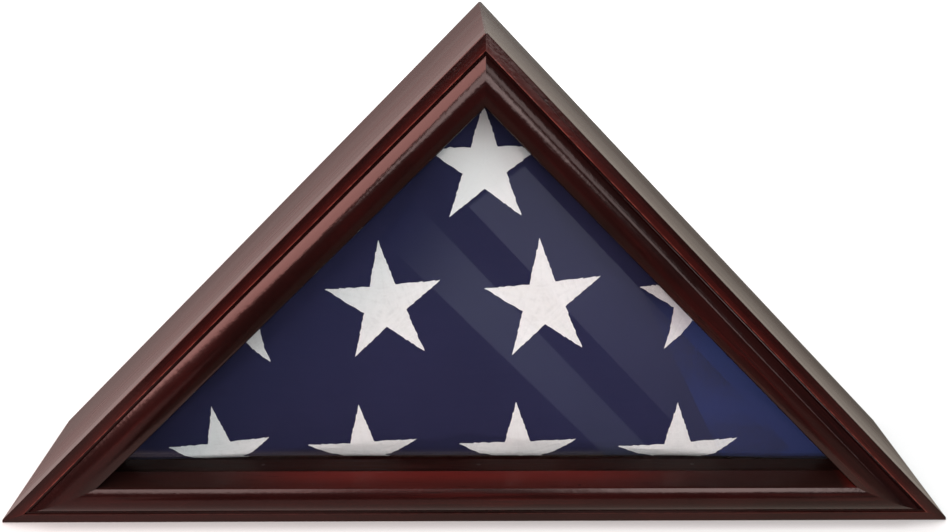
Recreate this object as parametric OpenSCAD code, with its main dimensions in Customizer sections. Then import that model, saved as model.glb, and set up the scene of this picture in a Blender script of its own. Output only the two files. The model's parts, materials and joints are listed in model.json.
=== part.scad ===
/* [Case] */
// Width of the base, from one sharp corner to the other
case_w = 444.5; // [380:0.5:520]
// Depth of the woodwork, from the crown of the moulding to the back
case_d = 101.6; // [80:0.1:120]
// Thickness of the side and base boards
board_t = 12.7; // [10:0.1:15]
// How far each sharp base corner is cut back
tip_cut = 1.4; // [0.5:0.1:3]
// How far the top corner is cut back
apex_cut = 0.5; // [0.2:0.1:2]
// Chamfer on the outer edges of the woodwork
edge_ease = 0.3; // [0.2:0.1:1]

/* [Front moulding] */
// Width of its face, from the outer edge to the sight edge
face_w = 20.2; // [18:0.1:26]
// Thickness at the outer edge, in front of the boards
edge_t = 12; // [9:0.1:16]
// Width of the flat outer band
band_w = 4.9; // [3:0.1:6]
// How far the band rises on its way in
band_rise = 0.6; // [0:0.1:1.2]
// Width of the quirk between the band and the crown
quirk_w = 0.8; // [0.5:0.1:1.5]
// Depth of the quirk
quirk_d = 0.8; // [0.4:0.1:1.5]
// Radius of the crown
crown_r = 10; // [9:0.1:16]
// How far the sight edge stands in front of the outer edge
sight_rise = 2.3; // [1:0.1:4]
// Chamfer on the sight edge
sight_ease = 0.8; // [0.3:0.1:1.5]

/* [Glass] */
// Thickness of the pane
glass_t = 2; // [1.5:0.1:4]
// Room between the edge of the pane and the boards
glass_gap = 1; // [0.5:0.1:2]

/* [Glazing strips] */
// Depth of the strips behind the glass
strip_d = 11.2; // [6:0.1:16]
// How far the strips stay below the sight edge
strip_setback = 0.4; // [0.2:0.1:2]
// Chamfer on the edge next to the flag
strip_ease = 0.8; // [0.3:0.1:2]

/* [Folded flag] */
// Room between the flag and the boards at its sides
flag_gap = 3; // [1:0.1:8]
// Room between the flag and what it lies against
flag_clear = 0.4; // [0.3:0.1:2]
// Radius of the flag's corners
flag_corner_r = 5; // [3:0.5:12]
// How far the flag's folded edges roll back
flag_roll = 4.5; // [3:0.5:12]

/* [Back panel] */
// Thickness of the panel
panel_t = 3.2; // [2.4:0.1:5]
// Width of the rebate that holds the panel
rebate_w = 4.5; // [3:0.1:6]
// Room between the edge of the panel and the rebate
panel_gap = 0.8; // [0.4:0.1:2]
// How far the panel lies below the back of the boards
panel_recess = 0.3; // [0.1:0.1:1]
// Room between the panel and the shoulder of its rebate
panel_clear = 0.2; // [0.1:0.1:0.6]
// How far the panel's sharp corners are cut back
panel_tip_cut = 4; // [1:0.5:10]

/* [Turn buttons] */
// Width at the screw
button_w = 7.5; // [6:0.1:8]
// Width at the tip
button_tip_w = 5; // [3:0.1:6]
// Distance from the screw to the centre of the tip
button_reach = 17; // [12:0.5:24]
// Thickness of the metal
button_t = 1.2; // [0.8:0.1:2]
// Room under a button, and between it and the screw head
button_clear = 0.15; // [0.1:0.05:0.4]
// Distance of a base button from the middle of the base
base_button_x = 95; // [60:1:130]
// Distance of a side button from the top corner, along the side
side_button_x = 150; // [110:1:190]

/* [Turn button screws] */
// Radius of the shank
screw_r = 1.4; // [1.2:0.05:1.8]
// Length of the shank in the wood
screw_l = 13; // [8:0.5:20]
// Radius of the head
screw_head_r = 2.8; // [2.2:0.1:3.6]
// Height of the head
screw_head_h = 1.6; // [1:0.1:2.4]
// Radial room between the shank and the button
button_play = 0.08; // [0.05:0.01:0.1]

/* [Sawtooth hangers] */
// Length of a hanger
hanger_l = 44; // [36:1:60]
// Width of a hanger
hanger_w = 8; // [6:0.5:12]
// Thickness of the metal
hanger_t = 0.9; // [0.7:0.1:1.4]
// How far the toothed middle stands off the panel
hanger_lift = 1.3; // [1:0.1:2]
// Length of each flat end
hanger_end_l = 8.5; // [7:0.5:12]
// Number of teeth
hanger_teeth = 9; // [5:2:13]
// Depth of the teeth
tooth_d = 1.6; // [1:0.1:2.4]
// Distance of a hanger's middle from the middle of the panel
hanger_x = 78; // [50:1:100]
// Height of the hangers above the base
hanger_z = 88; // [60:1:110]
// Radius of a hanger nail
nail_r = 0.7; // [0.5:0.05:1]
// Radius of its head
nail_head_r = 1.7; // [1.2:0.1:2.4]
// Thickness of its head
nail_head_t = 0.5; // [0.3:0.1:1]

/* [Brads and wedges] */
// Radius of a brad
brad_r = 0.6; // [0.4:0.05:1]
// Length of a corner brad
corner_brad_l = 18; // [14:0.5:20]
// Length of a strip brad
strip_brad_l = 14; // [11:0.5:17]
// Number of brads down each corner
brads_per_corner = 3; // [2:1:4]
// Number of brads along each strip
brads_per_strip = 3; // [2:1:5]
// How deep the heads are set below the wood
brad_set = 0.8; // [0.5:0.1:2]
// Length of each leg of a corner wedge
wedge_leg = 4.6; // [3:0.1:6]
// Thickness of the wedge metal
wedge_t = 0.4; // [0.3:0.05:0.6]
// Height of a wedge
wedge_h = 7; // [5:0.5:8]

/* [Hidden] */
$fn = 48;

// The case is a right-angled triangle that stands on its long side.
base_angle = 45;
half_w = case_w / 2;
case_h = half_w * tan(base_angle);
leg_l = half_w / cos(base_angle);
in_r = half_w * tan(base_angle / 2);
corner_left = [-half_w, 0];
corner_right = [half_w, 0];
corner_top = [0, case_h];
incentre = [0, in_r];
past = 60;
mitre_past = 1.2;

// The crown is an arc from the foot of the quirk to the sight edge.
quirk_floor = quirk_d - band_rise;
crown_foot = [quirk_floor, band_w + quirk_w];
crown_end = [-sight_rise, face_w];
crown_mid = (crown_foot + crown_end) / 2;
crown_chord = norm(crown_end - crown_foot);
crown_dir = (crown_end - crown_foot) / crown_chord;
crown_depth = sqrt(pow(crown_r, 2) - pow(crown_chord / 2, 2));
crown_c = crown_mid + [crown_dir[1], -crown_dir[0]] * crown_depth;
crown_proud = crown_r - crown_c[0];
sight_ease_run = 0.77 * sight_ease;
sight_ease_rise = 0.65 * sight_ease;

// Depths are counted back from the outer front edge of the moulding.
back_v = case_d - crown_proud;
glass_v = edge_t;
strip_v = glass_v + glass_t;
flag_v = strip_v + strip_d + flag_clear;
rebate_d = panel_t + panel_recess + panel_clear;
panel_v = back_v - panel_recess - panel_t;
flag_back_v = panel_v - flag_clear;
rim_w = board_t - rebate_w;
strip_top = face_w - strip_setback;
button_v = back_v + button_clear;
screw_head_v = button_v + button_t + button_clear;
hardware_v = screw_head_v + screw_head_h;
front_edge_y = -(hardware_v + crown_proud) / 2 + crown_proud;

// Points and holes along the parts.
rim_mid = rim_w / 2;
screw_fit = 0.04;
brad_fit = 0.05;
brad_head_r = brad_r + 0.3;
brad_head_h = 0.5;
base_brad_in = 2 * board_t;
apex_brad_in = board_t / 2;
strip_brad_v = strip_v + strip_d / 2;
strip_brad_spread = 0.8;
recess_l = 1.2 * screw_head_r;
recess_w = 0.2 * screw_head_r;
recess_floor = 0.45 * screw_head_h;
bend_gain = 0.4 * hanger_t;
flag_sheet = 0.4;
flag_turn = 0.3 * flag_roll;
wedge_angle = 35;
wedge_u = 0.7 * board_t;
strip_half_l = (in_r - board_t) / tan(base_angle / 2);
hanger_hole_in = hanger_end_l / 2 - 0.5;
tooth_pitch = (hanger_l - 2 * hanger_end_l - 3 * hanger_lift) / hanger_teeth;

wood = [0.20, 0.07, 0.06];
dark_wood = [0.12, 0.05, 0.04];
steel = [0.72, 0.72, 0.70];
brass = [0.78, 0.62, 0.30];

// ---- Placing ----

// Along x, back along y and in towards the middle along z, for a piece of one side.
module at_side(side) {
    turn = side == "bottom" ? 0 : side == "right" ? 180 - base_angle : 180 + base_angle;
    mid_x = side == "bottom" ? 0 : side == "right" ? half_w / 2 : -half_w / 2;
    mid_z = side == "bottom" ? 0 : case_h / 2;
    translate([mid_x, front_edge_y, mid_z])
        rotate([0, -turn, 0])
            children();
}

// Draws a flat shape of the front view from one depth to another.
module in_plane(from_v, to_v) {
    translate([0, front_edge_y + to_v, 0])
        rotate([90, 0, 0])
            linear_extrude(to_v - from_v)
                children();
}

function inset_corner(corner, inset) = incentre + (corner - incentre) * (1 - inset / in_r);

// The case's outline, in by a distance all round and with its sharp corners cut back.
module triangle(inset = 0, tip = 0, apex = 0) {
    left = inset_corner(corner_left, inset);
    right = inset_corner(corner_right, inset);
    top = inset_corner(corner_top, inset);
    difference() {
        polygon([left, right, top]);
        if (tip > 0) {
            translate([left[0] - past, left[1] - past])
                square([past + tip, 2 * past]);
            translate([right[0] - tip, right[1] - past])
                square([past + tip, 2 * past]);
        }
        if (apex > 0)
            translate([top[0] - past, top[1] - apex])
                square([2 * past, past]);
    }
}

// The share of the front view that belongs to one side, up to both mitres.
module mitre_share(side) {
    from = side == "bottom" ? corner_left : side == "right" ? corner_right : corner_top;
    to = side == "bottom" ? corner_right : side == "right" ? corner_top : corner_left;
    out_from = incentre + (from - incentre) * mitre_past;
    out_to = incentre + (to - incentre) * mitre_past;
    polygon([out_from, out_to, incentre]);
}

// A length of one side with the given section, mitred at both ends.
module mitred_bar(side) {
    intersection() {
        at_side(side)
            rotate([90, 0, 90])
                linear_extrude(case_w + past, center = true)
                    children();
        in_plane(-past, back_v + past)
            mitre_share(side);
        in_plane(-past, back_v + past)
            translate([-half_w + tip_cut, -past])
                square([case_w - 2 * tip_cut, case_h + past - apex_cut]);
    }
}

// ---- Sections, with depth along x and the way in along y ----

module moulding_section() {
    ease_u = face_w - sight_ease_run;
    ease_v = -sight_rise - sight_ease_rise;
    clear_v = ease_v - 3 * sight_ease;
    difference() {
        polygon([
            [edge_t, 0], [edge_ease, 0], [0, edge_ease],
            [-band_rise, band_w], [quirk_floor, band_w],
            crown_foot, [-crown_r, crown_foot[1]],
            [-crown_r, face_w], [edge_t, face_w]
        ]);
        difference() {
            translate([-past, band_w + quirk_w / 2])
                square([past + quirk_floor, face_w]);
            translate(crown_c)
                circle(crown_r, $fn = 96);
        }
        polygon([
            [-sight_rise + sight_ease, face_w], [ease_v, ease_u], [clear_v, ease_u],
            [clear_v, face_w + 1], [-sight_rise + sight_ease, face_w + 1]
        ]);
    }
}

module board_section() {
    polygon([
        [edge_t, 0], [back_v - edge_ease, 0], [back_v, edge_ease],
        [back_v, rim_w], [back_v - rebate_d, rim_w],
        [back_v - rebate_d, board_t], [edge_t, board_t]
    ]);
}

module strip_section() {
    polygon([
        [strip_v, board_t], [strip_v + strip_d, board_t],
        [strip_v + strip_d, strip_top - strip_ease],
        [strip_v + strip_d - strip_ease, strip_top], [strip_v, strip_top]
    ]);
}

// ---- Brads, wedges and screws ----

// A headed brad from its head, pointing along z. With room, it is the hole for one.
module brad(length, room = 0) {
    translate([0, 0, -room])
        cylinder(r = brad_head_r + room, h = brad_head_h + 2 * room);
    cylinder(r = brad_r + room, h = length - 2 * brad_r + room);
    translate([0, 0, length - 2 * brad_r])
        cylinder(r1 = brad_r + room, r2 = 0.1 + room, h = 2 * brad_r);
}

function brad_depth(i) =
    edge_t + (back_v - rebate_d - edge_t) * (i + 0.5) / brads_per_corner;

module all_corner_brads(room = 0) {
    for (i = [0 : brads_per_corner - 1]) {
        for (end = [-1, 1])
            at_side("bottom")
                translate([end * (half_w - base_brad_in), brad_depth(i), brad_set])
                    brad(corner_brad_l, room);
        at_side("right")
            translate([leg_l / 2 - apex_brad_in, brad_depth(i), brad_set])
                brad(corner_brad_l, room);
    }
}

function strip_side_l(side) =
    side == "bottom" ? 2 * strip_half_l : strip_half_l + in_r - board_t;

function strip_mid_x(side) =
    side == "bottom" ? 0 : side == "right"
        ? -leg_l / 2 + half_w + (in_r - board_t - strip_half_l) / 2
        : leg_l / 2 - half_w - (in_r - board_t - strip_half_l) / 2;

module side_strip_brads(side, room = 0) {
    spread_l = strip_side_l(side) * strip_brad_spread;
    at_side(side)
        for (i = [0 : brads_per_strip - 1])
            translate([
                strip_mid_x(side) + spread_l * ((i + 0.5) / brads_per_strip - 0.5),
                strip_brad_v, strip_top
            ])
                rotate([180, 0, 0])
                    brad(strip_brad_l, room);
}

// A bent steel wedge that ties the mouldings together across a mitre.
module corner_wedge() {
    for (lean = [-1, 1])
        rotate(lean * wedge_angle)
            translate([-wedge_t / 2, 0])
                square([wedge_t, wedge_leg]);
    circle(wedge_t, $fn = 8);
}

module all_wedges() {
    for (corner = [corner_left, corner_right, corner_top]) {
        out = (corner - incentre) / norm(corner - incentre);
        half_angle = corner == corner_top ? 90 - base_angle : base_angle / 2;
        in_plane(edge_t - wedge_h, edge_t)
            translate(corner - out * wedge_u / sin(half_angle))
                rotate(atan2(out[1], out[0]) - 90)
                    corner_wedge();
    }
}

// A dome-headed screw from the underside of its head, pointing along -z.
module screw(length) {
    dome_r = (pow(screw_head_r, 2) + pow(screw_head_h, 2)) / (2 * screw_head_h);
    translate([0, 0, -length + 2 * screw_r])
        cylinder(r = screw_r, h = length - 2 * screw_r);
    translate([0, 0, -length])
        cylinder(r1 = 0.2, r2 = screw_r, h = 2 * screw_r);
    difference() {
        intersection() {
            translate([0, 0, screw_head_h - dome_r])
                sphere(dome_r, $fn = 64);
            cylinder(r = screw_head_r + 1, h = screw_head_h + 1);
        }
        for (turn = [0, 90])
            rotate(turn)
                translate([-recess_l / 2, -recess_w / 2, recess_floor])
                    cube([recess_l, recess_w, screw_head_h]);
    }
}

// Each turn button's side, the place of its screw along that side and the way it points.
BUTTONS = [
    ["left", -leg_l / 2 + side_button_x, 0],
    ["right", leg_l / 2 - side_button_x, 180],
    ["bottom", -base_button_x, 180],
    ["bottom", base_button_x, 0]
];

module at_button(index) {
    at_side(BUTTONS[index][0])
        translate([BUTTONS[index][1], 0, rim_mid])
            rotate([-90, 0, 0])
                rotate(BUTTONS[index][2])
                    children();
}

module screw_holes() {
    for (index = [0 : 3])
        at_button(index)
            translate([0, 0, back_v - screw_l])
                cylinder(r = screw_r + screw_fit, h = screw_l + 1);
}

// ---- Pieces ----

module side_board(side) {
    color(wood)
        difference() {
            mitred_bar(side)
                board_section();
            all_corner_brads(brad_fit);
            side_strip_brads(side, brad_fit);
            screw_holes();
        }
}

module front_moulding(side) {
    color(wood)
        difference() {
            mitred_bar(side)
                moulding_section();
            all_wedges();
        }
}

module glazing_strip(side) {
    color(dark_wood)
        difference() {
            mitred_bar(side)
                strip_section();
            side_strip_brads(side, brad_fit);
        }
}

module moulding_wedges() {
    color(steel)
        all_wedges();
}

module corner_brads() {
    color(steel)
        all_corner_brads();
}

module glass_pane() {
    color([0.85, 0.92, 0.90, 0.35])
        in_plane(glass_v, glass_v + glass_t)
            triangle(board_t + glass_gap, tip_cut, apex_cut);
}

module strip_brads() {
    color(steel)
        for (side = ["left", "right", "bottom"])
            side_strip_brads(side);
}

// A soft three-cornered bundle, rolled over at its front and back edges.
module flag_layer(inset, depth) {
    in_plane(depth, depth + flag_sheet)
        for (corner = [corner_left, corner_right, corner_top])
            translate(inset_corner(corner, inset + flag_corner_r))
                circle(flag_corner_r, $fn = 24);
}

module folded_flag() {
    lift = [0, 0, flag_clear - flag_gap];
    inset = board_t + flag_gap;
    color([0.10, 0.10, 0.20])
        translate(lift)
            hull() {
                flag_layer(inset + flag_roll, flag_v);
                flag_layer(inset + flag_turn, flag_v + flag_turn);
                flag_layer(inset, flag_v + flag_roll);
                flag_layer(inset, flag_back_v - flag_roll);
                flag_layer(inset + flag_roll, flag_back_v - flag_sheet);
            }
}

module back_panel() {
    color([0.45, 0.33, 0.22])
        difference() {
            in_plane(panel_v, panel_v + panel_t)
                triangle(rim_w + panel_gap, panel_tip_cut, apex_cut);
            for (end = [-1, 1])
                all_hanger_nails(end, brad_fit);
        }
}

function arc_points(centre, r, from, to, steps = 20) =
    [for (i = [0 : steps]) let (a = from + (to - from) * i / steps) centre + r * [cos(a), sin(a)]];

// A plate with a round end at the screw and a smaller one at the tip.
module turn_button(index) {
    square_on = 90 - asin((button_w - button_tip_w) / 2 / button_reach);
    color(brass)
        at_button(index)
            translate([0, 0, button_v])
                difference() {
                    linear_extrude(button_t)
                        polygon(concat(
                            arc_points([0, 0], button_w / 2, square_on, 360 - square_on),
                            arc_points([button_reach, 0], button_tip_w / 2, -square_on, square_on)
                        ));
                    translate([0, 0, -1])
                        cylinder(r = screw_r + button_play, h = button_t + 2);
                }
}

module turn_button_screws() {
    color(steel)
        for (index = [0 : 3])
            at_button(index)
                translate([0, 0, screw_head_v])
                    screw(screw_l + screw_head_v - back_v);
}

// ---- Hangers ----

// Runs along x with its back on y = 0 and its toothed edge at the bottom.
module hanger_strap() {
    half_l = hanger_l / 2;
    flat_l = half_l - hanger_end_l;
    rise_l = 1.5 * hanger_lift;
    translate([0, 0, -hanger_w / 2])
        linear_extrude(hanger_w)
            polygon([
                [-half_l, 0], [-flat_l, 0], [-flat_l + rise_l, hanger_lift],
                [flat_l - rise_l, hanger_lift], [flat_l, 0], [half_l, 0],
                [half_l, hanger_t], [flat_l + bend_gain, hanger_t],
                [flat_l - rise_l + bend_gain, hanger_lift + hanger_t],
                [-flat_l + rise_l - bend_gain, hanger_lift + hanger_t],
                [-flat_l - bend_gain, hanger_t], [-half_l, hanger_t]
            ]);
}

module at_hanger(end) {
    translate([end * hanger_x, front_edge_y + panel_v + panel_t, hanger_z])
        children();
}

module all_hanger_nails(end, room = 0) {
    for (side = [-1, 1])
        at_hanger(end)
            translate([side * (hanger_l / 2 - hanger_hole_in), hanger_t, 0])
                rotate([90, 0, 0])
                    cylinder(r = nail_r + room, h = hanger_t + panel_t + room);
}

module sawtooth_hanger(end) {
    color(steel)
        difference() {
            at_hanger(end)
                hanger_strap();
            at_hanger(end)
                for (i = [0 : hanger_teeth - 1])
                    translate([(i - hanger_teeth / 2) * tooth_pitch, 0, -hanger_w / 2])
                        rotate([-90, 0, 0])
                            linear_extrude(hanger_lift + 2 * hanger_t)
                                polygon([
                                    [0, 0.1], [tooth_pitch / 2, -tooth_d], [tooth_pitch, 0.1]
                                ]);
            all_hanger_nails(end, brad_fit);
        }
}

module hanger_nails() {
    color(steel)
        for (end = [-1, 1]) {
            all_hanger_nails(end);
            for (side = [-1, 1])
                at_hanger(end)
                    translate([side * (hanger_l / 2 - hanger_hole_in), hanger_t, 0])
                        rotate([-90, 0, 0])
                            cylinder(r = nail_head_r, h = nail_head_t);
        }
}

side_board("left");  // side_board_left
side_board("right");  // side_board_right
side_board("bottom");  // base_board
front_moulding("left");  // front_moulding_left
front_moulding("right");  // front_moulding_right
front_moulding("bottom");  // front_moulding_bottom
moulding_wedges();
corner_brads();
glass_pane();
glazing_strip("left");  // glazing_strip_left
glazing_strip("right");  // glazing_strip_right
glazing_strip("bottom");  // glazing_strip_bottom
strip_brads();
folded_flag();
back_panel();
turn_button(0);  // turn_button_left
turn_button(1);  // turn_button_right
turn_button(2);  // turn_button_base_left
turn_button(3);  // turn_button_base_right
turn_button_screws();
sawtooth_hanger(-1);  // sawtooth_hanger_left
sawtooth_hanger(1);  // sawtooth_hanger_right
hanger_nails();
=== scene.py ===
"""Folded flag display case: a mitred mahogany triangle with a crowned front moulding,
a glass window, a folded star-field flag behind it and a lift-out back held by turn buttons."""

import json
import math

import bmesh
import bpy
from mathutils import Euler, Matrix, Vector

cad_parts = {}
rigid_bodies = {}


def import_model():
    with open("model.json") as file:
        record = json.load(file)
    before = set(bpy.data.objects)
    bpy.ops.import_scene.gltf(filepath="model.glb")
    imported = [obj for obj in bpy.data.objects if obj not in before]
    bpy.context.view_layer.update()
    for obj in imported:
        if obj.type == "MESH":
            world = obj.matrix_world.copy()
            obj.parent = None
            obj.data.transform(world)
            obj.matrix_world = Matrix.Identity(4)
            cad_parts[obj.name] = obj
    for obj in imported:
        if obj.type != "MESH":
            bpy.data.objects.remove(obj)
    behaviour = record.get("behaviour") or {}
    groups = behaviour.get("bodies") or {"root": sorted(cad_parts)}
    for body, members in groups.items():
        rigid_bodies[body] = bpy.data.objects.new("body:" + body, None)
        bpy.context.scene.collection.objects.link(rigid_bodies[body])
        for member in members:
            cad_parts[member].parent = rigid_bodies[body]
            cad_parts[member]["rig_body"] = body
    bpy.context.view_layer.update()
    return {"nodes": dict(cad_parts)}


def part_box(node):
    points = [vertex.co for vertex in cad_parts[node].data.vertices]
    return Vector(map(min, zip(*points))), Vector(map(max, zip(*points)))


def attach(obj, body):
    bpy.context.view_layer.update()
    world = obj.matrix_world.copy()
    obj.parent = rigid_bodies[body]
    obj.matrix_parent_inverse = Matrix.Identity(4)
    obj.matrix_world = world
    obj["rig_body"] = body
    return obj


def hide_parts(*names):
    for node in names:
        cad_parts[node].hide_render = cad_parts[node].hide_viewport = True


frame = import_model()

MM = 0.001

# ---------------------------------------------------------------------------
# Camera: where it stands, and the line of sight through a pixel of its frame
# ---------------------------------------------------------------------------
FRAME_WIDE, FRAME_HIGH = 952, 532
VIEW_CENTRE = (476, 350)               # where the camera's own axis meets the frame
FOCAL_PIXELS = 1081.4
SENSOR = 36.0
CAMERA_AT = Vector((-13.82, -474.59, 284.14)) * MM
CAMERA_TURN = Euler((math.radians(65.3563), math.radians(-0.6267), math.radians(-1.2441)))


def set_camera():
    bpy.ops.object.camera_add(location=CAMERA_AT, rotation=CAMERA_TURN)
    camera = bpy.context.object
    camera.data.sensor_width = SENSOR
    camera.data.lens = FOCAL_PIXELS / FRAME_WIDE * SENSOR
    camera.data.shift_y = (VIEW_CENTRE[1] - FRAME_HIGH / 2) / FRAME_WIDE
    camera.data.clip_start = 0.01
    bpy.context.scene.camera = camera


def sight(px, py):
    """The direction in which the camera looks through a pixel."""
    across = (px - VIEW_CENTRE[0]) / FOCAL_PIXELS
    down = (py - VIEW_CENTRE[1]) / FOCAL_PIXELS
    return CAMERA_TURN.to_matrix() @ Vector((across, -down, -1.0))


def seen_at_depth(px, py, depth):
    """The point at depth y that a pixel shows."""
    ray = sight(px, py)
    return CAMERA_AT + ray * ((depth - CAMERA_AT.y) / ray.y)


set_camera()


# ---------------------------------------------------------------------------
# Finishes: shader sums written as sums, and a material in the making
# ---------------------------------------------------------------------------
class Amount:
    """A number that changes over a surface, held by the socket that gives it."""

    def __init__(self, finish, socket):
        self.finish, self.socket = finish, socket

    def __add__(self, other):
        return self.finish.sum("ADD", self, other)

    def __sub__(self, other):
        return self.finish.sum("SUBTRACT", self, other)

    def __rsub__(self, other):
        return self.finish.sum("SUBTRACT", other, self)

    def __mul__(self, other):
        return self.finish.sum("MULTIPLY", self, other)

    __rmul__ = __mul__


class Finish:
    """A material in the making."""

    def __init__(self, name):
        self.material = bpy.data.materials.new(name)
        self.material.use_nodes = True
        self.tree = self.material.node_tree
        self.tree.nodes.clear()

    def node(self, kind, settings=(), sockets=()):
        """Adds a node: its settings first, then the value or link of each socket."""
        made = self.tree.nodes.new("ShaderNode" + kind)
        for name, value in dict(settings).items():
            setattr(made, name, value)
        for name, value in dict(sockets).items():
            if isinstance(value, Amount):
                value = value.socket
            if isinstance(value, bpy.types.NodeSocket):
                self.tree.links.new(value, made.inputs[name])
            else:
                made.inputs[name].default_value = value
        return made

    def sum(self, operation, *terms):
        made = self.node("Math", {"operation": operation}, enumerate(terms))
        return Amount(self, made.outputs[0])

    def least(self, a, b):
        return self.sum("MINIMUM", a, b)

    def most(self, a, b):
        return self.sum("MAXIMUM", a, b)

    def place(self):
        return self.node("TexCoord").outputs["Object"]

    def laid(self, spot, turn=(0, 0, 0), shift=(0, 0, 0), stretch=(1, 1, 1)):
        """The spot turned, stretched and shifted, in that order."""
        made = self.node("Mapping", {}, {"Vector": spot, "Rotation": turn,
                                         "Location": shift, "Scale": stretch})
        return made.outputs[0]

    def axes(self, spot):
        made = self.node("SeparateXYZ", {}, {0: spot})
        return [Amount(self, s) for s in made.outputs]

    def noise(self, spot, scale, detail=3.0, rough=0.5, bend=0.0):
        made = self.node("TexNoise", {}, {"Vector": spot, "Scale": scale, "Detail": detail,
                                          "Roughness": rough, "Distortion": bend})
        return Amount(self, made.outputs[0])

    def cells(self, spot, scale, feature="F1"):
        made = self.node("TexVoronoi", {"feature": feature}, {"Vector": spot, "Scale": scale})
        return Amount(self, made.outputs["Distance"])

    def step(self, amount, low, high, start=0.0, end=1.0):
        """Goes smoothly from start to end as the amount goes from low to high."""
        made = self.node("MapRange", {"interpolation_type": "SMOOTHSTEP"},
                         {0: amount, 1: low, 2: high, 3: start, 4: end})
        return Amount(self, made.outputs[0])

    def tint(self, share, colour, other):
        """colour where share is 0, other where it is 1."""
        made = self.node("Mix", {"data_type": "RGBA"}, {0: share, 6: as_colour(colour),
                                                        7: as_colour(other)})
        return made.outputs[2]

    def bump(self, height, reach, strength=1.0, under=None):
        sockets = {"Height": height, "Distance": reach, "Strength": strength}
        if under is not None:
            sockets["Normal"] = under
        return self.node("Bump", {}, sockets).outputs[0]

    def surface(self, **sockets):
        named = {name.replace("_", " "): value for name, value in sockets.items()}
        self.show(self.node("BsdfPrincipled", {}, named).outputs[0])

    def show(self, shader):
        self.node("OutputMaterial", {}, {"Surface": shader})


def as_colour(value):
    return (*value, 1.0) if isinstance(value, tuple) and len(value) == 3 else value


# ---------------------------------------------------------------------------
# Wood: stained mahogany under a satin lacquer, with its grain along each rail
# ---------------------------------------------------------------------------
EDGE_OF_LEG = 157.154 * MM             # from the part's origin to a leg's outer face
ALONG_LEFT = ((0, math.radians(45), 0), (0, 0, -EDGE_OF_LEG))
ALONG_RIGHT = ((0, math.radians(-45), 0), (0, 0, -EDGE_OF_LEG))
ALONG_BASE = ((0, math.radians(180), 0), (0, 0, 0))
FRONT_ARRIS = -47.975 * MM
SHEEN_DEPTH = 88 * MM                  # how far back a board's sheen takes to fade
# On a moulding, measured inwards from the rail's outer face:
QUIRK_FROM, QUIRK_TO = 4.9 * MM, 5.7 * MM
INNER_FROM, INNER_TO = 15.8 * MM, 17.2 * MM
LIP_FROM, LIP_TO = 19.4 * MM, 20.1 * MM
# Along the base rail, where the red of its lip comes in, goes out and comes back in a corner:
LIP_RED_RISE, LIP_RED_FALL, LIP_RED_CORNER = (-0.115, -0.04), (0.06, 0.13), (-0.176, -0.166)

STAIN_DARK = (0.0100, 0.0026, 0.0024)
STAIN_BODY = (0.0230, 0.0036, 0.0034)
STAIN_RED = (0.070, 0.0075, 0.0060)
LIP_RED = (0.120, 0.0140, 0.0110)
PAINTED_FLOOR_SHEEN = (0.0250, 0.0155, 0.0125)   # painted reflection of the pale floor on the side rails' inner slope
LIP_BROWN = (0.0170, 0.0085, 0.0070)
WORN_RED = (0.26, 0.060, 0.045)
# pores and dents; also painted shade in the mouldings' groove and on the side rails' lip
PORE_AND_SHADE = (0.0035, 0.0014, 0.0013)
WARM_SHEEN = (1.0, 0.72, 0.69, 1)      # the lacquer's own tint in what it mirrors


def base_lip_red_share(wood, along, depth):
    """How red the base rail's lip is: red in the middle and in one corner, darker towards the ends
    and the front.
    """
    red_share = wood.step(depth, FRONT_ARRIS - 1.0 * MM, FRONT_ARRIS + 9.0 * MM, 0.35, 0.9)
    red_share = red_share * wood.step(along, *LIP_RED_RISE, 0.08, 1.0)
    red_share = red_share * wood.step(along, *LIP_RED_FALL, 1.0, 0.12)
    return wood.most(red_share, wood.step(along, *LIP_RED_CORNER, 0.9, 0.0))


def shade_moulding(wood, stain, axes, shifted, figure, red, lip_red):
    """Rubs the arris by the groove, paints shade into the groove and the side rails' lip and a
    floor reflection on their inner slope, colours the base rail's lip, and gives the lip's place.
    """
    along, depth, inward = axes
    rub = wood.noise(shifted, 260.0, 2.0)
    arris = wood.step(inward, QUIRK_FROM - 0.55 * MM, QUIRK_FROM - 0.1 * MM)
    arris = arris * wood.step(inward, QUIRK_FROM - 0.1 * MM, QUIRK_FROM + 0.15 * MM, 1.0, 0.0)
    stain = wood.tint(arris * wood.step(rub, 0.35, 0.6, 0.25, 0.9) * red, stain, WORN_RED)
    # painted shade: the groove darkened halfway towards pore brown
    groove = wood.step(inward, QUIRK_FROM, QUIRK_FROM + 0.3 * MM)
    groove = groove * wood.step(inward, QUIRK_TO + 0.2 * MM, QUIRK_TO + 1.4 * MM, 1.0, 0.0)
    stain = wood.tint(groove * 0.5, stain, PORE_AND_SHADE)
    # painted reflection: the side rails' inner slope greyed as if the pale floor were mirrored in
    # it
    inner = wood.step(inward, INNER_FROM, INNER_TO, 0.0, 0.0 if lip_red else 0.3)
    stain = wood.tint(inner, stain, PAINTED_FLOOR_SHEEN)
    # painted shade: on the side rails the lip is darkened near black, where the flag's edge lies in
    # shade; the base rail's lip goes dark brown, then red in places
    lip = wood.step(inward, LIP_FROM, LIP_TO)
    stain = wood.tint(lip * 0.8, stain, LIP_BROWN if lip_red else PORE_AND_SHADE)
    # the base rail's lip: red in the middle and in one corner, dark brown elsewhere
    red_share = lip * base_lip_red_share(wood, along, depth)
    stain = wood.tint(red_share * wood.step(figure, 0.3, 0.7, 0.7, 1.0) * lip_red, stain, LIP_RED)
    return stain, lip


def small_nicks(wood, shifted):
    """1 in the small dents that lie scattered in patches, else 0."""
    dents = wood.cells(wood.laid(shifted, stretch=(0.7, 1, 1)), 95.0)
    patches = wood.step(wood.noise(shifted, 31.0, 1.0), 0.60, 0.66)
    return wood.step(dents, 0.035, 0.075, 1.0, 0.0) * patches


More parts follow.
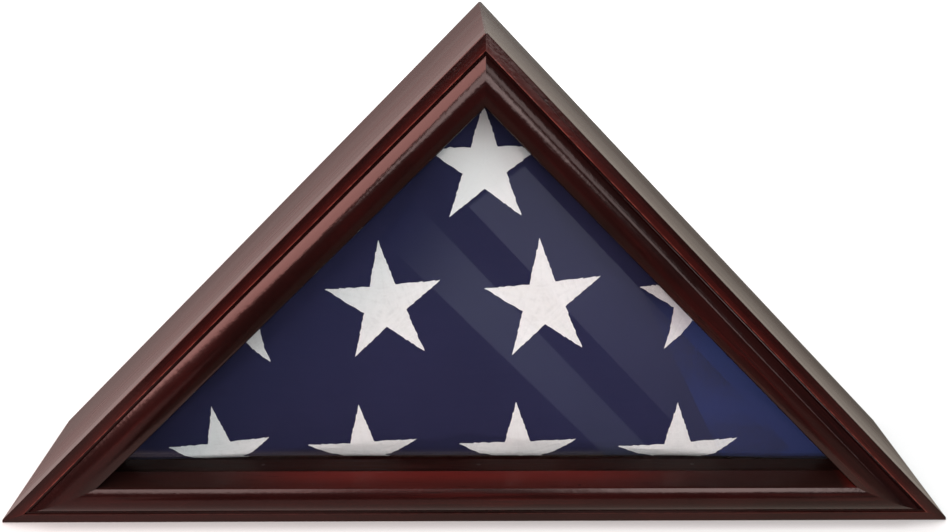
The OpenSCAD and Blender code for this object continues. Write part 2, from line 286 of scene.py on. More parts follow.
def lacquer_over(wood, shifted, grain, strength):
    """The lacquer's slow swell and fine peel, with the grain just showing through."""
    swell = wood.bump(wood.noise(shifted, 120.0, 2.0, 0.5), 1.1 * MM, 0.09)
    peel = wood.bump(wood.noise(shifted, 640.0, 2.0, 0.5), 0.42 * MM, 0.12, swell)
    return wood.bump(grain, 0.04 * MM, strength, peel)


def mahogany(name, lay, moulded, seed, back_wear=0.4, red=0.75, lip_red=0.0):
    """The rail runs along the first axis, and the third goes outwards from its outer face."""
    wood = Finish(name)
    turn, shift = lay
    spot = wood.laid(wood.place(), turn, shift)
    along, depth, out = wood.axes(spot)
    inward = -1.0 * out
    shifted = wood.laid(spot, shift=(seed, 0.13 * seed, 0.37 * seed))
    figure = wood.noise(wood.laid(shifted, stretch=(3, 42, 42)), 1.0, 4.0, 0.55, 0.6)
    fibre = wood.noise(wood.laid(shifted, stretch=(16, 620, 620)), 1.0, 3.0, 0.55)
    pores = wood.step(wood.noise(wood.laid(shifted, stretch=(70, 1900, 1900)), 1.0, 2.0, 0.5),
                      0.62, 0.72)
    cloud = wood.noise(shifted, 17.0, 3.0, 0.5)
    blush = wood.step(figure * 0.55 + cloud * 0.45, 0.36, 0.66)
    stain = wood.tint(blush, STAIN_DARK, STAIN_BODY)
    glow = wood.step(fibre * 0.45 + figure * 0.55, 0.48, 0.74)
    if moulded:
        band = wood.step(inward, 1.2 * MM, 4.7 * MM)
        band = band * wood.step(inward, QUIRK_FROM, QUIRK_FROM + 0.3 * MM, 1.0, 0.0)
        glow = wood.least(glow * 0.45 + band * (0.6 * red), 1.0)
        stain, lip = shade_moulding(wood, wood.tint(glow, stain, STAIN_RED),
                                    (along, depth, inward), shifted, figure, red, lip_red)
        flat, smooth, raised = lip * 0.85, (0.15, 0.22), 0.4
    else:
        worn = wood.step(depth, FRONT_ARRIS, FRONT_ARRIS + SHEEN_DEPTH)
        stain = wood.tint(glow * 0.4 + (1.0 - worn) * 0.3, stain, STAIN_RED)
        flat, smooth, raised = worn * back_wear, (0.23, 0.28), 0.15
    nicks = small_nicks(wood, shifted)
    stain = wood.tint(pores * 0.55, stain, PORE_AND_SHADE)
    stain = wood.tint(nicks * 0.7, stain, PORE_AND_SHADE)
    lacquer = lacquer_over(wood, shifted, fibre * 0.35 - pores * 0.5 - nicks * 2.2, raised)
    shiny = wood.node("BsdfPrincipled", {}, {
        "Base Color": stain, "Roughness": wood.step(figure, 0.3, 0.7, *smooth),
        "Normal": lacquer, "IOR": 1.5, "Specular Tint": WARM_SHEEN})
    dull = wood.node("BsdfPrincipled", {}, {
        "Base Color": stain, "Roughness": wood.step(figure, 0.3, 0.7, 0.6, 0.75),
        "Normal": lacquer, "Specular IOR Level": 0.06})
    both = wood.node("MixShader", {}, {0: flat, 1: shiny.outputs[0], 2: dull.outputs[0]})
    wood.show(both.outputs[0])
    return wood.material


def plain_stain(name, lay, seed):
    """Secondary wood behind the glass: stained dark, no lacquer."""
    wood = Finish(name)
    turn, shift = lay
    spot = wood.laid(wood.laid(wood.place(), turn, shift), shift=(seed, 0.2 * seed, 0.4 * seed))
    fibre = wood.noise(wood.laid(spot, stretch=(20, 560, 560)), 1.0, 5.0, 0.6)
    pores = wood.step(wood.noise(wood.laid(spot, stretch=(80, 1700, 1700)), 1.0, 2.0), 0.6, 0.7)
    tone = wood.tint(wood.step(fibre, 0.35, 0.7), (0.006, 0.0019, 0.0013), (0.017, 0.0052, 0.0034))
    tone = wood.tint(pores * 0.6, tone, (0.003, 0.0015, 0.0012))
    wood.surface(Base_Color=tone, Roughness=wood.step(fibre, 0.3, 0.7, 0.5, 0.62),
                 Normal=wood.bump(fibre - pores * 0.7, 0.12 * MM, 0.6), IOR=1.48,
                 Specular_IOR_Level=0.08)
    return wood.material


# ---------------------------------------------------------------------------
# Glass, hardboard and metal
# ---------------------------------------------------------------------------
def window_glass():
    """Clear glass that lets the lamps through to what is behind it."""
    glass = Finish("clear_glass")
    dust = glass.noise(glass.place(), 900.0, 2.0)
    specks = glass.step(glass.cells(glass.place(), 70.0), 0.012, 0.022, 1.0, 0.0)
    specks = specks * glass.step(glass.noise(glass.place(), 9.0, 1.0), 0.62, 0.66)
    clear = glass.node("BsdfPrincipled", {}, {
        "Base Color": glass.tint(dust, (0.985, 0.992, 0.988), (0.995, 1.0, 0.998)),
        "Roughness": 0.0, "IOR": 1.5, "Transmission Weight": 1.0})
    film = glass.node("BsdfPrincipled", {}, {"Base Color": (0.62, 0.62, 0.64, 1),
                                             "Roughness": 0.7})
    seen = glass.node("MixShader", {}, {0: specks * 0.8, 1: clear.outputs[0],
                                        2: film.outputs[0]})
    rays = glass.node("LightPath")
    passing = glass.most(Amount(glass, rays.outputs["Is Shadow Ray"]),
                         rays.outputs["Is Diffuse Ray"])
    through = glass.node("BsdfTransparent", {}, {0: (1, 1, 1, 1)})
    both = glass.node("MixShader", {}, {0: passing, 1: seen.outputs[0], 2: through.outputs[0]})
    glass.show(both.outputs[0])
    return glass.material


def pressed_board():
    """Hardboard: brown matted fibres, a little darker where the press polished them."""
    board = Finish("hardboard")
    spot = board.place()
    wisps = board.noise(board.laid(spot, turn=(0, 0.6, 0), stretch=(160, 160, 700)), 1.0, 4.0, 0.6)
    cross = board.noise(board.laid(spot, turn=(0, -0.9, 0), stretch=(140, 140, 620)), 1.0, 4.0, 0.6)
    cloud = board.noise(spot, 24.0, 3.0)
    fibres = board.most(wisps, cross)
    tone = board.tint(board.step(fibres, 0.45, 0.75), (0.105, 0.056, 0.030), (0.225, 0.135, 0.078))
    tone = board.tint(board.step(cloud, 0.35, 0.65) * 0.35, tone, (0.082, 0.043, 0.024))
    flecks = board.step(board.cells(spot, 420.0), 0.10, 0.16, 1.0, 0.0)
    tone = board.tint(flecks * 0.5, tone, (0.040, 0.022, 0.014))
    board.surface(Base_Color=tone, Roughness=board.step(fibres, 0.4, 0.8, 0.48, 0.7),
                  Normal=board.bump(fibres - flecks * 0.5, 0.12 * MM, 0.5), IOR=1.45)
    return board.material


def rolled_metal(name, light, dark, shine, spangle=0.0):
    """Sheet metal: fine rolling lines, cloudy tarnish, and spangles if it is zinc plated."""
    metal = Finish(name)
    spot = metal.place()
    lines = metal.noise(metal.laid(spot, turn=(0, 0.12, 0), stretch=(90, 4000, 2600)), 1.0, 3.0)
    cloud = metal.noise(spot, 210.0, 3.0, 0.6)
    grime = metal.step(metal.noise(spot, 60.0, 4.0, 0.7), 0.52, 0.75)
    share = metal.step(cloud, 0.35, 0.65)
    if spangle:
        share = metal.least(share * 0.5 + metal.cells(spot, spangle) * 0.7, 1.0)
    tone = metal.tint(share, dark, light)
    tone = metal.tint(grime * 0.45, tone, tuple(0.35 * c for c in dark))
    rough = metal.step(lines * 0.5 + cloud * 0.5 + grime * 0.3, 0.35, 0.8, shine, shine + 0.2)
    metal.surface(Base_Color=tone, Metallic=1.0, Roughness=rough,
                  Normal=metal.bump(lines, 0.03 * MM, 0.35))
    return metal.material


# ---------------------------------------------------------------------------
# Flag: navy cotton and white embroidery
# ---------------------------------------------------------------------------
NAVY = (0.0200, 0.0213, 0.0620)
NAVY_DEEP = (0.0180, 0.0192, 0.0555)
NAVY_LIT = (0.0222, 0.0236, 0.0695)
THREAD_PITCH = 0.55 * MM


def navy_cotton():
    """Plain weave: threads over and under along all three axes, so that no face is bare."""
    cloth = Finish("navy_cotton")
    spot = cloth.place()
    wander = cloth.noise(spot, 190.0, 2.0)
    x, y, z = cloth.axes(spot)
    rate = 2 * math.pi / THREAD_PITCH
    warp = cloth.sum("SINE", (x + y * 0.7) * rate + wander * 2.2)
    weft = cloth.sum("SINE", (z + y * 0.7) * rate + wander * 2.2)
    weave = warp * weft
    slub = cloth.noise(cloth.laid(spot, stretch=(60, 900, 900)), 1.0, 3.0)
    fade = cloth.noise(spot, 11.0, 3.0)
    tone = cloth.tint(cloth.step(fade, 0.3, 0.7), NAVY_DEEP, NAVY_LIT)
    tone = cloth.tint(cloth.step(weave, -1.0, 1.0) * 0.35, tone, NAVY)
    tone = cloth.tint(cloth.step(slub, 0.6, 0.8) * 0.15, tone, (0.030, 0.032, 0.082))
    foot_shade = cloth.step(z, 16 * MM, 27 * MM, 0.6, 0.0)     # painted, not cast
    tone = cloth.tint(foot_shade, tone, (0.006, 0.006, 0.014))
    drape = cloth.bump(fade, 4.0 * MM, 0.08)
    nap = cloth.bump(weave * 0.8 + slub * 0.6, 0.06 * MM, 0.25, drape)
    cloth.surface(Base_Color=tone, Roughness=cloth.step(slub, 0.3, 0.7, 0.82, 0.92), Normal=nap,
                  Sheen_Weight=0.04, Sheen_Roughness=0.45, Sheen_Tint=(0.42, 0.44, 0.85, 1),
                  Specular_IOR_Level=0.10)
    return cloth.material


def white_stitching():
    """Satin stitches fanned out over each point: the map gives how far along the point a
    stitch lies and how far it is from the point's middle line."""
    thread = Finish("star_embroidery")
    own = thread.node("UVMap", {"uv_map": "stitch"}).outputs[0]
    along, beside, _ = thread.axes(own)
    loose = thread.noise(own, 700.0, 3.0, 0.6)
    rows = thread.sum("SINE", (along + beside * 0.55) * (2 * math.pi / (0.62 * MM)) + loose * 2.5)
    tufts = thread.noise(thread.laid(own, turn=(0, 0, 0.5), stretch=(900, 260, 1)), 1.0, 4.0, 0.65)
    clumps = thread.noise(own, 330.0, 3.0, 0.6)
    seam = thread.step(beside, 0.15 * MM, 0.7 * MM, 1.0, 0.0)
    shade = thread.step(tufts * 0.55 + clumps * 0.45 - seam * 0.05, 0.28, 0.58)
    tone = thread.tint(shade, (0.77, 0.79, 0.795), (0.875, 0.895, 0.90))
    high = thread.step(thread.axes(thread.place())[2], 0.10, 0.18)     # painted light: the stars whiter towards the top, where the frame shades them
    tone = thread.tint(high * 0.85, tone, (0.965, 0.98, 0.98))
    height = rows * 0.35 + tufts * 1.0 + clumps * 0.7 - seam * 0.5
    thread.surface(Base_Color=tone, Roughness=thread.step(tufts, 0.3, 0.7, 0.6, 0.75),
                   Normal=thread.bump(height, 0.26 * MM, 0.55), Sheen_Weight=0.05,
                   Sheen_Roughness=0.4, Specular_IOR_Level=0.2)
    return thread.material


# ---------------------------------------------------------------------------
# Modelling helpers
# ---------------------------------------------------------------------------
def deselect():
    bpy.ops.object.select_all(action="DESELECT")


def take_up(piece):
    """Makes one object the only selected and the active one."""
    deselect()
    piece.select_set(True)
    bpy.context.view_layer.objects.active = piece


def apply_modifier(piece, kind, **settings):
    take_up(piece)
    modifier = piece.modifiers.new(kind.lower(), kind)
    for name, value in settings.items():
        setattr(modifier, name, value)
    bpy.ops.object.modifier_apply(modifier=modifier.name)


def copy_of_node(node, name):
    """A separate copy of a node's mesh, its doubles merged and its flat faces made whole."""
    piece = bpy.data.objects.new(name, frame["nodes"][node].data.copy())
    piece.data.name = name
    piece.data.materials.clear()
    bpy.context.collection.objects.link(piece)
    take_up(piece)
    bpy.ops.object.mode_set(mode="EDIT")
    bpy.ops.mesh.select_all(action="SELECT")
    bpy.ops.mesh.remove_doubles(threshold=0.002 * MM)
    bpy.ops.mesh.dissolve_limited(angle_limit=math.radians(0.6))
    bpy.ops.object.mode_set(mode="OBJECT")
    return piece


def dress(node, name, finish, ease=0.2, rounds=2, corner=28):
    """Stands a copy of a node in its place, its sharp edges eased, with its real finish."""
    piece = copy_of_node(node, name)
    if ease:
        apply_modifier(piece, "BEVEL", width=ease * MM, segments=rounds, limit_method="ANGLE",
                       angle_limit=math.radians(corner), use_clamp_overlap=True)
    take_up(piece)
    bpy.ops.object.shade_smooth_by_angle(angle=math.radians(32))
    apply_modifier(piece, "WEIGHTED_NORMAL", mode="FACE_AREA", keep_sharp=True)
    piece.data.materials.append(finish)
    ride_for(piece, node)
    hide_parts(node)


def ride_for(piece, node):
    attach(piece, frame["nodes"][node]["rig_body"])


def paint_node(node, finish):
    mesh = frame["nodes"][node].data
    mesh.materials.clear()
    mesh.materials.append(finish)


# ---------------------------------------------------------------------------
# The case
# ---------------------------------------------------------------------------
for side, lay, seed, back_wear in (("left", ALONG_LEFT, 0.31, 0.35),
                                   ("right", ALONG_RIGHT, 1.17, 0.55)):
    dress("side_board_" + side, "side_board_%s_wood" % side,
          mahogany("mahogany_board_" + side, lay, False, seed, back_wear),
          0.25)
    dress("front_moulding_" + side, "front_moulding_%s_wood" % side,
          mahogany("mahogany_moulding_" + side, lay, True, seed + 2.3), 0.35)
    dress("glazing_strip_" + side, "glazing_strip_%s_wood" % side,
          plain_stain("dark_strip_" + side, lay, seed), 0.2)
dress("base_board", "base_board_wood", mahogany("mahogany_board_base", ALONG_BASE, False, 2.9),
      0.25)
dress("front_moulding_bottom", "front_moulding_bottom_wood",
      mahogany("mahogany_moulding_base", ALONG_BASE, True, 5.1, red=0.12, lip_red=1.0),
      0.35)
dress("glazing_strip_bottom", "glazing_strip_bottom_wood",
      plain_stain("dark_strip_base", ALONG_BASE, 3.3), 0.2)
paint_node("moulding_wedges", plain_stain("wedge_wood", ALONG_BASE, 4.4))

# ---------------------------------------------------------------------------
# Window, back and fittings
# ---------------------------------------------------------------------------
steel = rolled_metal("bright_steel", (0.62, 0.62, 0.63), (0.42, 0.42, 0.43), 0.28)
zinc = rolled_metal("zinc_plate", (0.66, 0.68, 0.70), (0.44, 0.46, 0.49), 0.26, 520.0)
blued = rolled_metal("blued_steel", (0.050, 0.045, 0.045), (0.022, 0.019, 0.019), 0.45)
brass = rolled_metal("brass", (0.83, 0.60, 0.25), (0.62, 0.40, 0.14), 0.22)

paint_node("glass_pane", window_glass())
dress("back_panel", "back_panel_board", pressed_board(), 0.25)
for side in ("left", "right"):
    dress("sawtooth_hanger_" + side, "sawtooth_hanger_%s_plate" % side, zinc, 0.12)
    for place in ("", "base_"):
        node = "turn_button_" + place + side
        dress(node, node + "_plate", brass, 0.3, 3)
dress("turn_button_screws", "turn_button_brass_screws", brass, 0.12)
dress("hanger_nails", "hanger_steel_nails", steel, 0.08)
paint_node("corner_brads", steel)
paint_node("strip_brads", blued)

# ---------------------------------------------------------------------------
# The folded flag
# ---------------------------------------------------------------------------
FLAG_LOW, FLAG_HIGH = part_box("folded_flag")
FLAG_FRONT, FLAG_BACK = FLAG_LOW.y, FLAG_HIGH.y
FOLD_ROLL = 4.5 * MM                   # how round the cloth turns at the outer folds
LAYER_PITCH = 4.4 * MM                 # one fold of the bundle
GROOVE_DEEP, GROOVE_REACH = 1.3 * MM, 6.0 * MM
GROOVE_SLANT = 0.012                   # the layers climb a little across the bundle
FRONT_SINK, BACK_SINK = 0.75 * MM, 3.4 * MM    # room left for the stars and the tucked flap
EDGES = (                              # outward directions of the bundle's three sides
    Vector((0, 0, -1)),
    Vector((-math.sqrt(0.5), 0, math.sqrt(0.5))),
    Vector((math.sqrt(0.5), 0, math.sqrt(0.5))),
)


def side_reach(piece):
    """How far the bundle reaches towards each of its three sides."""
    return [max(v.co.dot(way) for v in piece.data.vertices) for way in EDGES]


def plump_up(piece, frames=18, pressure=3.2, cap=2.6 * MM):
    """Swells the bundle as folded cloth does, by a cloth simulation capped in its reach."""
    rest = [v.co.copy() for v in piece.data.vertices]
    take_up(piece)
    cloth = piece.modifiers.new("cloth", "CLOTH")
    cloth.settings.use_pressure = True
    cloth.settings.uniform_pressure_force = pressure
    cloth.settings.quality = 6
    cloth.settings.mass = 0.3
    cloth.settings.tension_stiffness = 30
    cloth.settings.compression_stiffness = 30
    cloth.settings.bending_stiffness = 4
    cloth.settings.effector_weights.gravity = 0
    cloth.point_cache.frame_start = 1
    cloth.point_cache.frame_end = frames
    for step in range(1, frames + 1):
        bpy.context.scene.frame_set(step)
    bpy.ops.object.modifier_apply(modifier="cloth")
    for vertex, home in zip(piece.data.vertices, rest):
        move = vertex.co - home
        if move.length > cap:
            vertex.co = home + move * (cap / move.length)
    bpy.context.scene.frame_set(1)


def fold_bundle():
    """The whole bundle: remeshed, plumped, its edges grooved into folded layers."""
    piece = copy_of_node("folded_flag", "folded_flag_cloth")
    room = side_reach(piece)
    for vertex in piece.data.vertices:
        for way, reach in zip(EDGES, room):
            over = vertex.co.dot(way) - (reach - 1.8 * MM)
            if over > 0:
                vertex.co -= way * over
        vertex.co.y = min(max(vertex.co.y, FLAG_FRONT + 1.0 * MM), FLAG_BACK - 4.2 * MM)
    apply_modifier(piece, "REMESH", mode="VOXEL", voxel_size=4.5 * MM)
    plump_up(piece)
    apply_modifier(piece, "SUBSURF", levels=1, render_levels=1)
    middle = (FLAG_FRONT + FLAG_BACK) / 2
    for vertex in piece.data.vertices:
        for way, reach in zip(EDGES, room):
            over = vertex.co.dot(way) - (reach - 0.3 * MM)
            if over > 0:
                vertex.co -= way * over
            near = vertex.co.dot(way) - (reach - GROOVE_REACH)
            inner = abs(vertex.co.y - middle) < (FLAG_BACK - FLAG_FRONT) / 2 - 9 * MM
            if near > 0 and inner:
                height = (vertex.co.y + vertex.co.x * GROOVE_SLANT) / LAYER_PITCH
                groove = abs(math.sin(math.pi * height))
                vertex.co -= way * (GROOVE_DEEP * (1 - groove) ** 1.6 * min(1.0, near / (4 * MM)))
        vertex.co.y = min(max(vertex.co.y, FLAG_FRONT + FRONT_SINK), FLAG_BACK - BACK_SINK)
    take_up(piece)
    bpy.ops.object.shade_smooth()
    piece.data.materials.append(navy)
    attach(piece, "flag")
    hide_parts("folded_flag")
    return piece


def make_normals_agree(piece):
    take_up(piece)
    bpy.ops.object.mode_set(mode="EDIT")
    bpy.ops.mesh.select_all(action="SELECT")
    bpy.ops.mesh.normals_make_consistent(inside=False)
    bpy.ops.object.mode_set(mode="OBJECT")


def tuck_flap(bundle):
    """The flag's last end, folded to a triangle and tucked in across the back of the bundle."""
    deselect()
    bpy.ops.mesh.primitive_grid_add(x_subdivisions=44, y_subdivisions=30, size=2.0)
    flap = bpy.context.object
    flap.name = flap.data.name = "tucked_flap"
    corner, foot, brow = FLAP_CORNERS
    for vertex in flap.data.vertices:
        u, v = (vertex.co.x + 1) / 2, (vertex.co.y + 1) / 2
        u = u ** 0.8
        spot = corner.lerp(foot.lerp(brow, v), 0.03 + 0.97 * u)
        spot.z += math.sin(v * math.pi) * 1.5 * MM * u
        vertex.co = Vector((spot.x, FLAG_BACK - 2.0 * MM, spot.z))
    apply_modifier(flap, "SHRINKWRAP", target=bundle, wrap_method="NEAREST_SURFACEPOINT",
                   wrap_mode="ABOVE_SURFACE", offset=0.5 * MM)
    make_normals_agree(flap)
    if sum(face.normal.y for face in flap.data.polygons) < 0:
        flap.data.flip_normals()
    apply_modifier(flap, "SOLIDIFY", thickness=1.1 * MM, offset=1.0)
    apply_modifier(flap, "BEVEL", width=0.4 * MM, segments=2, limit_method="ANGLE")
    for vertex in flap.data.vertices:
        ripple = math.sin(vertex.co.x * 55 + vertex.co.z * 38) * math.sin(vertex.co.z * 61)
        vertex.co.y = min(vertex.co.y + 0.25 * MM * ripple, FLAG_BACK - 0.2 * MM)
    take_up(flap)
    bpy.ops.object.shade_smooth_by_angle(angle=math.radians(50))
    flap.data.materials.append(navy)
    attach(flap, "flag")


def star_blank():
    """One embroidered star, upright round the origin in the XZ plane, its point at radius 1."""
    deselect()
    bpy.ops.mesh.primitive_circle_add(vertices=10, radius=1.0, fill_type="TRIFAN",
                                      rotation=(math.radians(90), 0, 0))
    star = bpy.context.object
    bpy.ops.object.transform_apply(location=True, rotation=True, scale=True)
    star.name = star.data.name = "star_blank"
    rim = sorted((v for v in star.data.vertices if v.co.length > 0.5),
                 key=lambda v: math.atan2(v.co.x, v.co.z))
    first = min(range(10), key=lambda i: (rim[i].co - Vector((0, 0, 1))).length)
    for i, vertex in enumerate(rim):
        if (i - first) % 2:
            vertex.co *= STAR_WAIST
    take_up(star)
    bpy.ops.object.mode_set(mode="EDIT")
    bpy.ops.mesh.select_all(action="SELECT")
    bpy.ops.mesh.subdivide(number_cuts=13)
    bpy.ops.mesh.select_all(action="DESELECT")
    bpy.ops.object.mode_set(mode="OBJECT")
    mesh = bmesh.new()
    mesh.from_mesh(star.data)
    ragged = [v for v in mesh.verts if v.is_boundary and v.co.length < 0.97]
    for i, vertex in enumerate(sorted(ragged, key=lambda v: (round(v.co.x, 5), round(v.co.z, 5)))):
        wobble = math.sin(i * 12.9898) * 43758.5453
        vertex.co *= 1 + (wobble - math.floor(wobble) - 0.5) * 0.065
    mesh.to_mesh(star.data)
    mesh.free()
    return star


def over_the_folds(point, room, facing):
    """Lays a point of a flat star round the bundle's folds where it reaches past them."""
    point = point.copy()
    for way, reach in zip(EDGES, room):
        over = point.dot(way) - (reach - FOLD_ROLL)
        if over > 0:
            turn = min(over / FOLD_ROLL, math.pi / 2)
            level = FOLD_ROLL * math.sin(turn)
            drop = FOLD_ROLL * (1 - math.cos(turn)) + max(0.0, over - FOLD_ROLL * math.pi / 2)
            point += way * (level - over)
            point.y += facing * drop
    return point


def map_stitches(star, radius):
    """Maps each face of a star: along its point first, then away from the point's middle."""
    stitch = star.data.uv_layers.new(name="stitch")
    for face in star.data.polygons:
        point = round(math.atan2(face.center.x, face.center.z) / (math.tau / 5))
        turn = Matrix.Rotation(-point * math.tau / 5, 3, "Y")
        for loop in face.loop_indices:
            spot = turn @ star.data.vertices[star.data.loops[loop].vertex_index].co * radius
            stitch.data[loop].uv = (spot.z + 0.1 * point, abs(spot.x))


def sew_star(blank, bundle, name, x, z, radius, lean, tall=1.0, front=True):
    """Lays a copy of the star on the bundle, hugging the cloth, with its stitches raised."""
    star = blank.copy()
    star.data = blank.data.copy()
    star.name = star.data.name = name
    bpy.context.collection.objects.link(star)
    room = side_reach(bundle)
    level = FLAG_FRONT if front else FLAG_BACK - BACK_SINK
    facing = 1.0 if front else -1.0
    turned = Matrix.Rotation(math.radians(-lean), 3, "Y")
    map_stitches(star, radius)
    for vertex in star.data.vertices:
        flat = turned @ (vertex.co * radius)
        flat.z *= tall
        vertex.co = over_the_folds(flat + Vector((x, level, z)), room, facing)
    apply_modifier(star, "SHRINKWRAP", target=bundle, wrap_method="NEAREST_SURFACEPOINT",
                   wrap_mode="ABOVE_SURFACE", offset=0.18 * MM)
    make_normals_agree(star)
    if (star.data.polygons[0].normal.y > 0) == front:
        star.data.flip_normals()
    apply_modifier(star, "SOLIDIFY", thickness=0.32 * MM, offset=-1.0, use_even_offset=False)
    take_up(star)
    bpy.ops.object.shade_smooth_by_angle(angle=math.radians(40))
    star.data.materials.append(embroidery)
    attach(star, "flag")


STAR_WAIST = 0.368                     # a pointed star's inner radius over its outer one
FLAP_CORNERS = (Vector((-0.172, 0, 0.020)), Vector((0.012, 0, 0.019)), Vector((-0.072, 0, 0.118)))
FRONT_STARS = (                        # x, z, radius in mm, lean in degrees, height over width
    (0.95, 163.1, 26.7, 1.7, 1.035),
    (-43.2, 99.3, 27.2, 4.7, 1.12), (28.6, 100.7, 27.5, 6.2, 1.11),
    (-112.8, 95.7, 28.7, -1.1, 1.065), (98.3, 102.2, 26.8, 6.5, 1.06),
    (-122.8, 19.6, 25.4, 6.1, 1.10), (-55.0, 19.3, 27.3, 3.4, 1.07),
    (19.3, 18.2, 29.4, 3.6, 1.08), (96.6, 18.3, 30.1, 4.9, 1.04),
)
BACK_STARS = ((0.0, 152.0, 28.0, -2.0), (36.0, 92.0, 28.0, 3.0), (104.0, 70.0, 28.0, -2.0),
              (78.0, 22.0, 28.0, 4.0))

navy = navy_cotton()
embroidery = white_stitching()
bundle = fold_bundle()
tuck_flap(bundle)
blank = star_blank()
for number, (x, z, radius, lean, tall) in enumerate(FRONT_STARS, 1):
    sew_star(blank, bundle, "front_star_%d" % number, x * MM, z * MM, radius * MM, lean, tall)
for number, (x, z, radius, lean) in enumerate(BACK_STARS, 1):
    sew_star(blank, bundle, "back_star_%d" % number, x * MM, z * MM, radius * MM, lean,
             front=False)
bpy.data.objects.remove(blank)

# ---------------------------------------------------------------------------
# Studio: pale floor, soft lamps, and dim cards that the window mirrors
# ---------------------------------------------------------------------------
# The paper's painted glow, seen only in what is mirrored: where it is dark and bright, and its tint
# from left to right.
MIRRORED_EDGE = FRONT_ARRIS - 35 * MM  # in front of this the mirrored floor is dark
FLOOR_GLOW = 0.58                      # how bright the mirrored floor is behind that edge
SIDE_GLOWS = (0.48, 0.27)              # and in front of it, beside the case, left and right
PINK_FLOOR, GREY_FLOOR = (1.0, 0.72, 0.68), (0.80, 0.71, 0.61)


def was_mirrored(finish, rays):
    """1 if the line of sight has been mirrored at least once on its way here, else 0."""
    return finish.least(Amount(finish, rays.outputs["Glossy Depth"]), 1.0)


def studio_paper():
    """White paper with a soft shadow by the case, partly cast and partly painted by dimming its
    glow near the case. In what the wood and glass mirror it is a painted glow instead: warm, dark
    in front of the case, bright behind and beside it.
    """
    paper = Finish("studio_paper")
    x, y, _ = paper.axes(paper.place())
    rays = paper.node("LightPath")
    pale = paper.node("BsdfDiffuse", {}, {"Color": (0.60, 0.60, 0.60, 1)})
    shown = paper.node("BsdfDiffuse", {}, {"Color": (0.42, 0.42, 0.42, 1)})
    # painted shadow: the glow dims where the case is near; the diffuse paper under it also takes
    # the cast shadow
    near = paper.node("AmbientOcclusion", {"samples": 12}, {"Distance": 11 * MM})
    painted_shadow_fade = paper.step(Amount(paper, near.outputs["AO"]), 0.45, 0.98, 0.35, 1.0)
    glow = paper.node("Emission", {}, {"Color": (1, 1, 1, 1),
                                       "Strength": paper.step(y, 0.1, 1.2, 0.66, 1.0) * painted_shadow_fade})
    seen = paper.node("AddShader", {}, {0: shown.outputs[0], 1: glow.outputs[0]})
    # painted reflection: what is mirrored sees this glow instead of the lit paper
    behind = paper.step(y, MIRRORED_EDGE - 8 * MM, MIRRORED_EDGE, 0.02, FLOOR_GLOW)
    beside = paper.step(paper.sum("ABSOLUTE", x), 0.155, 0.185)
    beside = beside * paper.step(y, -0.30, -0.24) * paper.step(x, -0.2, 0.2, *SIDE_GLOWS)
    in_glass = Amount(paper, rays.outputs["Is Singular Ray"])
    mirrored_glow_share = paper.most(behind, beside * (1.0 - in_glass))
    warmth = paper.tint(paper.step(x, -0.2, 0.2), PINK_FLOOR, GREY_FLOOR)
    mirrored = paper.node("Emission", {}, {"Color": warmth, "Strength": mirrored_glow_share})
    direct = paper.most(Amount(paper, rays.outputs["Is Camera Ray"]),
                        rays.outputs["Is Transmission Ray"])
    first = paper.node("MixShader", {}, {0: direct, 1: pale.outputs[0], 2: seen.outputs[0]})
    last = paper.node("MixShader", {}, {0: was_mirrored(paper, rays), 1: first.outputs[0],
                                        2: mirrored.outputs[0]})
    paper.show(last.outputs[0])
    return paper.material


def studio_floor(paper):
    deselect()
    bpy.ops.mesh.primitive_plane_add(size=8.0, location=(0, 1.0, 0))
    floor = bpy.context.object
    floor.name = "studio_floor"
    take_up(floor)
    bpy.ops.object.transform_apply(location=True, rotation=True, scale=True)
    floor.data.materials.append(paper)


def studio_backdrop(paper):
    """A low upright of the same paper, far behind the case."""
    deselect()
    bpy.ops.mesh.primitive_plane_add(size=8.0)
    backdrop = bpy.context.object
    backdrop.name = "studio_backdrop"
    for vertex in backdrop.data.vertices:
        vertex.co = Vector((vertex.co.x, 3.6, vertex.co.y * 0.16 + 0.64))
    backdrop.data.materials.append(paper)


GLASS_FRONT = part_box("glass_pane")[0].y
CARD_HEIGHT = 2 * MM
CARDS = (                              # the pixels at its corners, its glow at its near and far
    # ends, how soon it reaches that glow, and its colour
    (((380, 238), (412, 200), (676, 478), (632, 482)), 0.42, 0.22, 0.45, (0.76, 0.84, 1)),
    (((467, 205), (523, 165), (790, 448), (735, 488)), 0.40, 0.14, 0.02, (0.80, 0.84, 1)),
    (((640, 286), (668, 262), (880, 486), (742, 500)), 0.80, 0.62, 0.45, (0.20, 0.32, 1)),
)


def mirrored_on_floor(px, py):
    """The point just above the floor that the window mirrors at a pixel."""
    hit = seen_at_depth(px, py, GLASS_FRONT)
    ray = sight(px, py)
    ray.y = -ray.y
    return hit + ray * ((CARD_HEIGHT - hit.z) / ray.z)


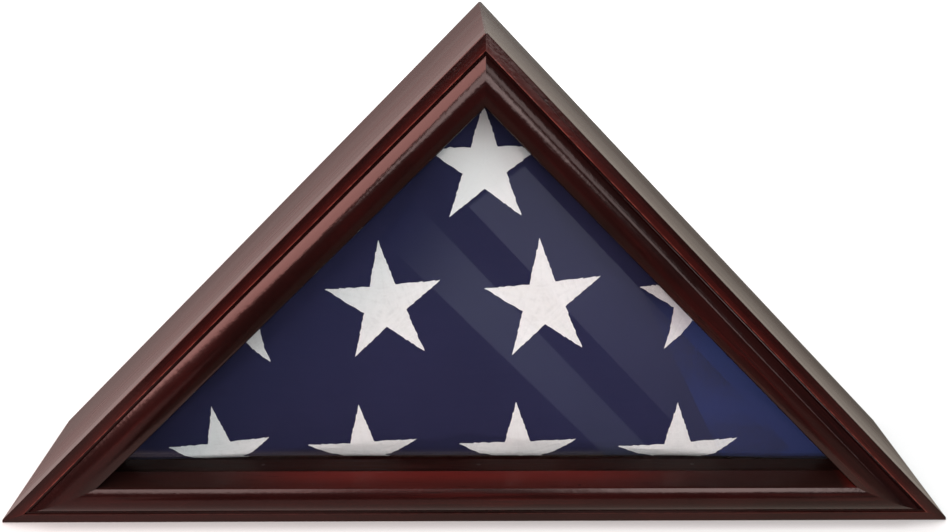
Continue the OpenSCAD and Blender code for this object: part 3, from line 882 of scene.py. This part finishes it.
def reflection_card(number, corners, glow, low_glow, start, colour):
    """A dim card in front of the case, shown only by what the window mirrors or lets through."""
    deselect()
    bpy.ops.mesh.primitive_plane_add(size=1.0)
    card = bpy.context.object
    card.name = "reflection_card_%d" % number
    ring = list(card.data.polygons[0].vertices)
    spots = [mirrored_on_floor(px, py) for px, py in corners]
    for index, spot in zip(ring, spots):
        card.data.vertices[index].co = spot
    along = card.data.uv_layers.new(name="along")
    for loop in card.data.loops:
        along.data[loop.index].uv = (float(ring.index(loop.vertex_index) > 1), 0.0)
    light = Finish("card_glow_%d" % number)
    own = light.node("UVMap", {"uv_map": "along"}).outputs[0]
    along = light.axes(own)[0]
    fading = light.step(along, 0.3, 1.0, glow, low_glow) * light.step(along, 0.0, start)
    shine = light.node("Emission", {}, {"Color": (*colour, 1), "Strength": fading})
    nothing = light.node("BsdfTransparent", {}, {0: (1, 1, 1, 1)})
    rays = light.node("LightPath")     # singular: met through or in clear glass, not in lacquer
    light.show(light.node("MixShader", {}, {
        0: rays.outputs["Is Singular Ray"], 1: nothing.outputs[0],
        2: shine.outputs[0]}).outputs[0])
    card.data.materials.append(light.material)
    for sight_kind in ("visible_camera", "visible_diffuse", "visible_shadow"):
        setattr(card, sight_kind, False)


LAMPS = (                              # degrees round from the front and up, distance in m,
    # size in m, radiance and colour
    ("side_softbox_left", -68, 28.9, 1.2, (1.2, 0.75), 5.6, (1, 0.63, 0.59)),
    ("front_softbox_left", -21.8, 24.4, 1.12, (0.42, 0.54), 3.8, (0.96, 0.97, 0.97)),
    ("front_fill", -2, 35, 1.2, (0.46, 0.50), 0.9, (0.94, 0.99, 1)),
    ("front_softbox_right", 21, 24.6, 1.12, (0.39, 0.66), 4.6, (0.94, 1, 1)),
    ("side_softbox_right", 51, 32, 1.2, (0.34, 0.48), 2.2, (0.92, 1, 1)),
    ("back_softbox", 160, 35, 1.5, (0.8, 0.8), 5.0, (1, 1, 1)),
)
AIM = Vector((0, 0, 0.09))


def soft_lamp(name, turn, rise, reach, size, radiance, colour):
    turn, rise = math.radians(turn), math.radians(rise)
    way = Vector((math.sin(turn) * math.cos(rise), -math.cos(turn) * math.cos(rise),
                  math.sin(rise)))
    bpy.ops.object.light_add(type="AREA", location=AIM + way * reach,
                             rotation=(-way).to_track_quat("-Z", "Y").to_euler())
    lamp = bpy.context.object
    lamp.name = name
    lamp.data.shape = "RECTANGLE"
    lamp.data.size, lamp.data.size_y = size
    lamp.data.energy = radiance * math.pi * size[0] * size[1]
    lamp.data.color = colour


def studio_world():
    """White to the eye, soft to the cloth and dim in what the lacquer mirrors."""
    world = bpy.data.worlds.new("studio_air")
    world.use_nodes = True
    bpy.context.scene.world = world
    nodes, links = world.node_tree.nodes, world.node_tree.links
    nodes.clear()
    rays = nodes.new("ShaderNodeLightPath")
    shader = None
    for strength, kind in ((0.32, None), (1.0, "Is Transmission Ray"), (0.03, "Glossy Depth"),
                           (1.0, "Is Camera Ray")):
        air = nodes.new("ShaderNodeBackground")
        air.inputs["Strength"].default_value = strength
        air.inputs["Color"].default_value = (0.97, 0.99, 1, 1) if kind is None else (1, 1, 1, 1)
        if shader is None:
            shader = air
            continue
        mix = nodes.new("ShaderNodeMixShader")
        links.new(rays.outputs[kind], mix.inputs[0])
        links.new(shader.outputs[0], mix.inputs[1])
        links.new(air.outputs[0], mix.inputs[2])
        shader = mix
    out = nodes.new("ShaderNodeOutputWorld")
    links.new(shader.outputs[0], out.inputs[0])


paper = studio_paper()
studio_floor(paper)
studio_backdrop(paper)
for number, card in enumerate(CARDS, 1):
    reflection_card(number, *card)
for name, turn, rise, reach, size, radiance, colour in LAMPS:
    soft_lamp(name, turn, rise, reach, size, radiance, colour)
studio_world()

bpy.context.scene.view_settings.view_transform = "Standard"
